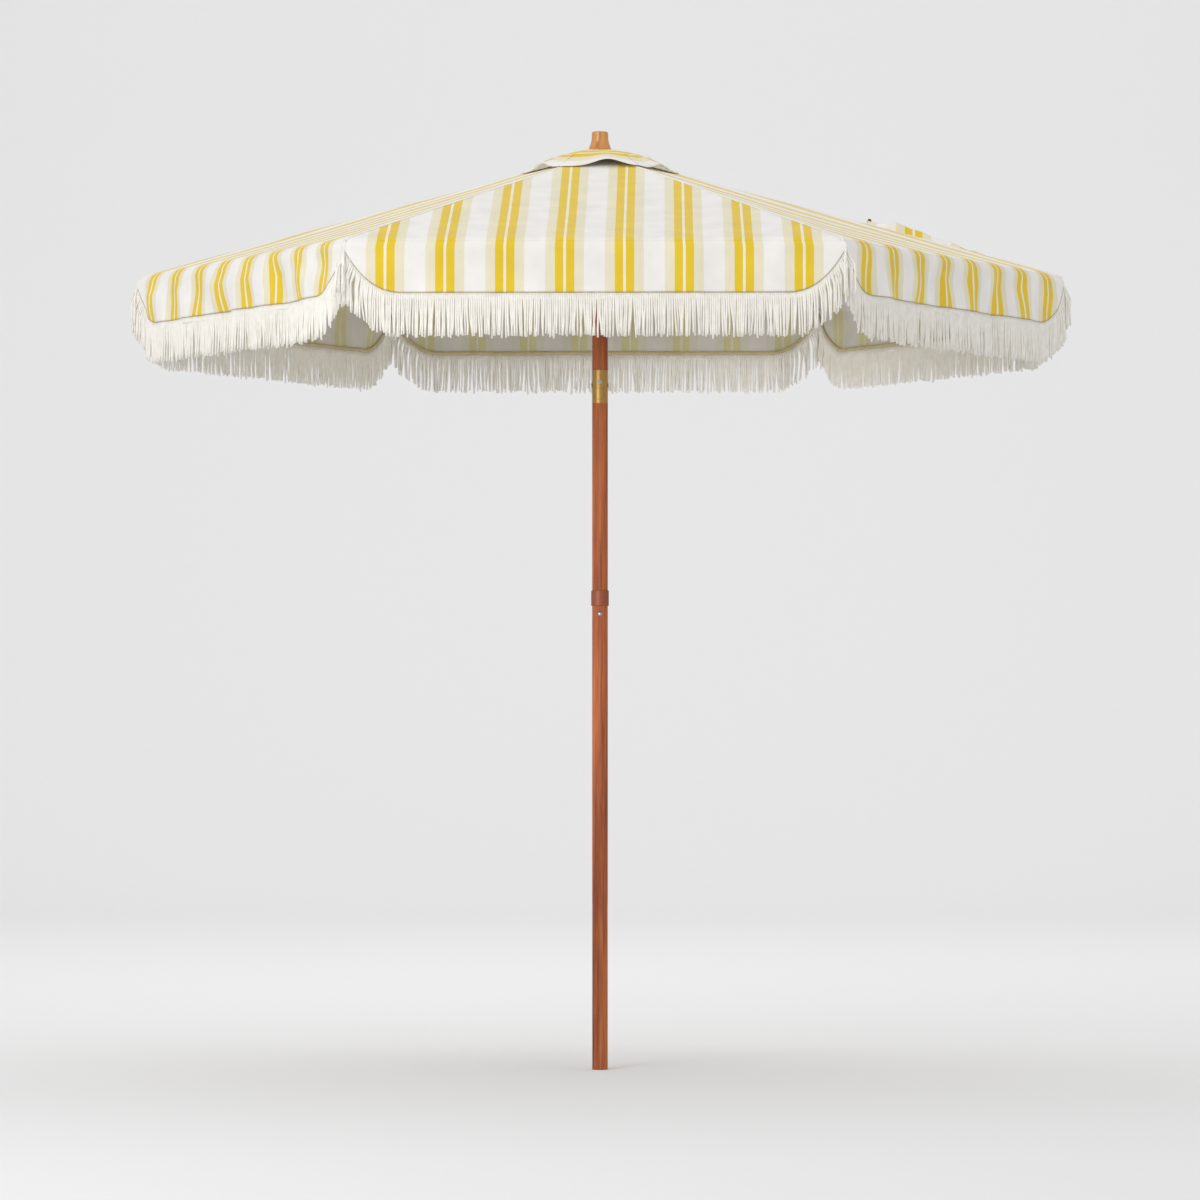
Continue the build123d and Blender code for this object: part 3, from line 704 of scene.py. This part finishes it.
for panel in range(1, PANELS + 1):
    side = cloth_grid(f"vent_cap_side_{panel}", 24, 18, cap_surface(panel), (cap_canvas, shaded_cap_reverse))
    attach(side, f"gore_{panel}")
    fold_up(side)
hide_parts("vent_cap")

# %% [markdown]
# ## Ridge seams
# Neighbouring panels are joined with a flat felled seam: the edges are folded round each other and
# sewn down, which leaves a narrow raised band over each rib. The band is its own strip, so it also
# covers the joint where the panels fold.

# %% Ridge seams
SEAM_WIDTH = 0.012
SEAM_LIFT = 0.0008
SEAM_FROM = 0.030


def seam_surface(rib):
    """Where the seam over one rib lies: its two halves lie on the panels each side of the rib."""
    left = rib
    right = (rib - 2) % PANELS + 1

    def surface(s, t):
        from_ridge = (s - 0.5) * SEAM_WIDTH
        length = SEAM_FROM + (ROOF_LENGTH + 0.034 - SEAM_FROM) * t
        if length <= ROOF_LENGTH:
            out, z = roof_profile(length)
        else:
            out, z = hanging_profile(length - ROOF_LENGTH)
        along = out * HALF_TAN - abs(from_ridge)
        rolled = min(1.0, max(0.0, (length - ROOF_STRAIGHT) / ROUND_ARC))
        proud = SEAM_LIFT * (1 - 0.25 * (2 * s - 1) ** 2)
        out += proud * math.sin(SLOPE + rolled * ROUND_TURN)
        z += proud * math.cos(SLOPE + rolled * ROUND_TURN)
        if from_ridge >= 0:
            return place(left, out, -along, z), (from_ridge, length)
        return place(right, out, along, z), (from_ridge, length)

    return surface


seams = []
for rib in range(1, PANELS + 1):
    seam = cloth_grid(f"ridge_seam_{rib}", 6, 90, seam_surface(rib), (canvas,))
    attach(seam, f"rib_{rib}")
    seams.append(seam)
print(len(seams), "ridge seams")

# %% [markdown]
# ## Closing strap
# A strap of the same canvas is sewn to the roof near one rib, to tie the closed umbrella. It lies
# loose in a long low bow, highest near its sewn end, and has a dark snap fastener there.

# %% Closing strap
STRAP_WIDTH = 0.028
STRAP_INSET = 0.030
STRAP_FROM = 0.650
STRAP_TO = 0.965
STRAP_PEAK_AT = 0.730
STRAP_PEAK = 0.008
STRAP_BOW = 0.017
SNAP_R = 0.0045
SNAP_THICK = 0.003


def strap_surface(s, t):
    """Where the strap lies on panel 1, beside the ridge of rib 1. It stands on edge near its sewn end."""
    radius = STRAP_FROM + (STRAP_TO - STRAP_FROM) * t
    stand = STRAP_PEAK * math.exp(-(((radius - STRAP_PEAK_AT) / 0.045) ** 2))
    stand += STRAP_BOW * math.sin(math.pi * min(1.0, 0.25 + 0.75 * t)) ** 0.8 + 0.002 * math.sin(radius * 90)
    lean = min(0.95, (stand + 0.004) / STRAP_WIDTH)
    spare = max(0.0, stand + 0.004 - STRAP_WIDTH * lean)
    from_ridge = STRAP_INSET + (s - 0.5) * STRAP_WIDTH * math.sqrt(1 - lean * lean)
    out = radius * math.cos(STEP / 2) + from_ridge * math.sin(STEP / 2)
    along = -(radius * math.sin(STEP / 2) - from_ridge * math.cos(STEP / 2))
    z = APEX_Z - out * math.tan(SLOPE) + 0.0015 + spare + s * STRAP_WIDTH * lean
    return place(1, out, along, z), ((s - 0.5) * STRAP_WIDTH, radius)


strap = cloth_grid("closing_strap", 6, 60, strap_surface, (cap_canvas,), thickness=0.0016)
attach(strap, "gore_1")
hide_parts("tie_strap")
fold_up(strap)

# %% Snap fastener
snap_at = strap_surface(1.0, 0.02)[0]
deselect_all()
bpy.ops.mesh.primitive_cylinder_add(
    vertices=32, radius=SNAP_R, depth=SNAP_THICK, location=snap_at, rotation=(math.pi / 2, 0, 0)
)
snap = bpy.context.object
snap.name = "strap_snap"
bpy.ops.object.transform_apply(location=True, rotation=True, scale=True)
apply_modifier(snap, "BEVEL", width=0.0008, segments=3)
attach(snap, "gore_1")
fold_up(snap)
print("strap and snap, snap at", [round(c, 3) for c in snap_at])

# %% [markdown]
# ## Wood
# The pole is a stained hardwood, turned round and oiled: straight fine grain that runs up the pole,
# a reddish brown with darker pores. The finial is a pale wood under clear lacquer, so it is lighter
# and glossier.

# %% Wood materials
GRAIN_WIDTH = 0.0025


def wood_material(name, colours, roughness, coat):
    """Straight-grained wood along Z."""
    material, tree, shader = new_material(name)
    coords = node(tree, "ShaderNodeTexCoord").outputs["Object"]
    # the grain is stretched along the pole
    stretched = node(tree, "ShaderNodeMapping", inputs={"Vector": coords, "Scale": (1.0, 1.0, 0.05)})
    along = stretched.outputs[0]
    fine = {"Vector": along, "Scale": 1 / GRAIN_WIDTH / 2, "Detail": 6.0, "Roughness": 0.62}
    grain = node(tree, "ShaderNodeTexNoise", inputs=fine)
    broad = node(tree, "ShaderNodeTexNoise", inputs={"Vector": along, "Scale": 45.0, "Detail": 3.0})
    parts = {0: grain.outputs["Fac"], 1: 0.55, 2: broad.outputs["Fac"]}
    mixed = node(tree, "ShaderNodeMath", {"operation": "MULTIPLY_ADD"}, parts)
    scaled = node(tree, "ShaderNodeMath", {"operation": "MULTIPLY"}, {0: mixed.outputs[0], 1: 0.65})
    colour = ramp(tree, scaled.outputs[0], list(zip((0.36, 0.50, 0.64), colours)))
    tree.links.new(colour, shader.inputs["Base Color"])
    tree.links.new(bump(tree, grain.outputs["Fac"], 0.2, 0.0003), shader.inputs["Normal"])
    shader.inputs["Roughness"].default_value = roughness
    shader.inputs["Coat Weight"].default_value = coat
    shader.inputs["Coat Roughness"].default_value = 0.15
    shader.inputs["Specular IOR Level"].default_value = 0.3
    return material


pole_wood = wood_material("stained_hardwood", ("#74351E", "#9E552F", "#BC6D3C"), 0.6, 0.0)
finial_wood = wood_material("lacquered_beech", ("#B26F28", "#C98539", "#D7994C"), 0.3, 0.8)
hub_wood = wood_material("satin_beech", ("#B98B58", "#CDA06B", "#DAB17E"), 0.5, 0.2)
print("woods:", pole_wood.name, finial_wood.name, hub_wood.name)

# %% [markdown]
# ## Metal
# The tilt housing and its button are satin brass, the collar is enamelled brown, the pins, rivet and
# snap button are plated steel, the strap's snap is dark oxidised brass, and the ribs and stretchers are
# powder coated white.

# %% Metal materials
def metal_material(name, colour, roughness, scratch_size, metallic=1.0):
    """Metal or painted metal with fine wear in its gloss."""
    material, tree, shader = new_material(name)
    coords = node(tree, "ShaderNodeTexCoord").outputs["Object"]
    scratches = {"Vector": coords, "Scale": 1 / scratch_size, "Detail": 5.0}
    wear = node(tree, "ShaderNodeTexNoise", inputs=scratches)
    gloss = node(
        tree,
        "ShaderNodeMapRange",
        inputs={"Value": wear.outputs["Fac"], "To Min": roughness - 0.07, "To Max": roughness + 0.09},
    )
    tree.links.new(gloss.outputs[0], shader.inputs["Roughness"])
    low = [round(int(colour[i : i + 2], 16) * 0.93) for i in (1, 3, 5)]
    tint = ramp(tree, wear.outputs["Fac"], [(0.3, "#{:02X}{:02X}{:02X}".format(*low)), (0.7, colour)])
    tree.links.new(tint, shader.inputs["Base Color"])
    tree.links.new(bump(tree, wear.outputs["Fac"], 0.08, 0.0002), shader.inputs["Normal"])
    shader.inputs["Metallic"].default_value = metallic
    return material


brass = metal_material("satin_brass", "#C09A5C", 0.45, 0.004)
plated_steel = metal_material("zinc_plated_steel", "#B4B6B4", 0.35, 0.003)
collar_enamel = metal_material("brown_enamel", "#8A421C", 0.5, 0.006, metallic=0.0)
gunmetal = metal_material("oxidised_brass", "#5E5A44", 0.4, 0.002)
powder_coat = metal_material("white_powder_coat", "#E9E7E1", 0.5, 0.002, metallic=0.0)
print("metals:", brass.name, plated_steel.name, collar_enamel.name, gunmetal.name, powder_coat.name)

# %% Finish of every CAD node
FINISH = {
    "lower_pole": pole_wood,
    "middle_pole": pole_wood,
    "upper_pole": pole_wood,
    "finial": finial_wood,
    "hub": hub_wood,
    "runner": hub_wood,
    "crown_collar": hub_wood,
    "tilt_housing": brass,
    "tilt_button": brass,
    "pole_ferrule": collar_enamel,
}
for name, obj in frame["nodes"].items():
    painted = name.startswith(("rib_", "stretcher_"))
    finish = FINISH.get(name, powder_coat if painted else plated_steel)
    obj.data.materials.clear()
    obj.data.materials.append(finish)
snap.data.materials.append(gunmetal)
print("finished CAD nodes:", len(frame["nodes"]))

# %% [markdown]
# ## Stage, light and camera
# A pale sweep of paper, a large soft light from the upper left, a weak fill from the right, a light on
# the backdrop, a narrow light on the pole, and a long lens at chest height, as for a shop catalogue.

# %% Stage
deselect_all()
bpy.ops.mesh.primitive_plane_add(size=1, location=(0, 0, 0))
paper = bpy.context.object
paper.name = "paper_sweep"
SWEEP_HALF = 30.0
SWEEP_BACK = 9.0
for vertex in paper.data.vertices:
    vertex.co = (vertex.co.x * 2 * SWEEP_HALF, SWEEP_BACK if vertex.co.y > 0 else -SWEEP_HALF, 0)
bpy.ops.object.mode_set(mode="EDIT")
bpy.ops.mesh.select_mode(type="EDGE")
bpy.ops.mesh.select_all(action="DESELECT")
bpy.ops.object.mode_set(mode="OBJECT")
for edge in paper.data.edges:
    edge.select = all(paper.data.vertices[i].co.y > 0 for i in edge.vertices)
bpy.ops.object.mode_set(mode="EDIT")
bpy.ops.mesh.spin(
    steps=24, angle=-math.pi / 2, center=(0, SWEEP_BACK, 4.0), axis=(1, 0, 0), use_normal_flip=False
)
bpy.ops.mesh.extrude_edges_move(TRANSFORM_OT_translate={"value": (0, 0, 20)})
bpy.ops.object.mode_set(mode="OBJECT")
bpy.ops.object.shade_smooth()
paper_finish, _, paper_shader = new_material("matt_paper")
paper_shader.inputs["Base Color"].default_value = srgb("#F1F1F1")
paper_shader.inputs["Roughness"].default_value = 1.0
paper_shader.inputs["Specular IOR Level"].default_value = 0.0
paper.data.materials.append(paper_finish)
print("paper sweep:", len(paper.data.polygons), "faces")


# %% Lights
def soft_light(name, size, power, at, aim):
    """A square area light pointed at a spot."""
    data = bpy.data.lights.new(name, "AREA")
    data.size = size
    data.energy = power
    lamp = bpy.data.objects.new(name, data)
    lamp.location = at
    lamp.rotation_euler = (Vector(aim) - Vector(at)).to_track_quat("-Z", "Y").to_euler()
    bpy.context.collection.objects.link(lamp)


soft_light("key", 3.0, 120, (-3.4, -5.4, 4.2), (0, 0, 1.6))
soft_light("fill", 5.0, 20, (6.0, -7.0, 3.4), (0, 0, 1.6))
soft_light("backdrop", 6.0, 165, (0, 3.0, 7.5), (0, 9.5, 2.0))
# a narrow light below the canopy's edge, for the pole
pole_lamp = bpy.data.lights.new("pole_light", "SPOT")
pole_lamp.energy = 520
pole_lamp.spot_size = math.radians(16)
pole_lamp.spot_blend = 1.0
pole_lamp.shadow_soft_size = 0.25
pole_light = bpy.data.objects.new("pole_light", pole_lamp)
pole_light.location = (-2.4, -4.8, 1.2)
pole_light.rotation_euler = (Vector((0, 0, 1.15)) - pole_light.location).to_track_quat("-Z", "Y").to_euler()
bpy.context.collection.objects.link(pole_light)
world = bpy.data.worlds.new("studio")
bpy.context.scene.world = world
bpy.context.scene.view_settings.view_transform = "Standard"
world.use_nodes = True
world.node_tree.nodes["Background"].inputs["Color"].default_value = srgb("#E5E5E6")
world.node_tree.nodes["Background"].inputs["Strength"].default_value = 0.95

# %% Camera
CAMERA_DISTANCE = 12.05
CAMERA_HEIGHT = 0.87
CAMERA_AZIMUTH = math.radians(0.72)
CAMERA_PITCH = math.radians(1.27)
camera_data = bpy.data.cameras.new("camera")
camera_data.lens = 149.0
camera = bpy.data.objects.new("camera", camera_data)
camera.location = (
    CAMERA_DISTANCE * math.sin(CAMERA_AZIMUTH),
    -CAMERA_DISTANCE * math.cos(CAMERA_AZIMUTH),
    CAMERA_HEIGHT,
)
camera.rotation_euler = (math.pi / 2 + CAMERA_PITCH, 0, CAMERA_AZIMUTH)
bpy.context.collection.objects.link(camera)
bpy.context.scene.camera = camera
print("camera at", [round(c, 3) for c in camera.location])
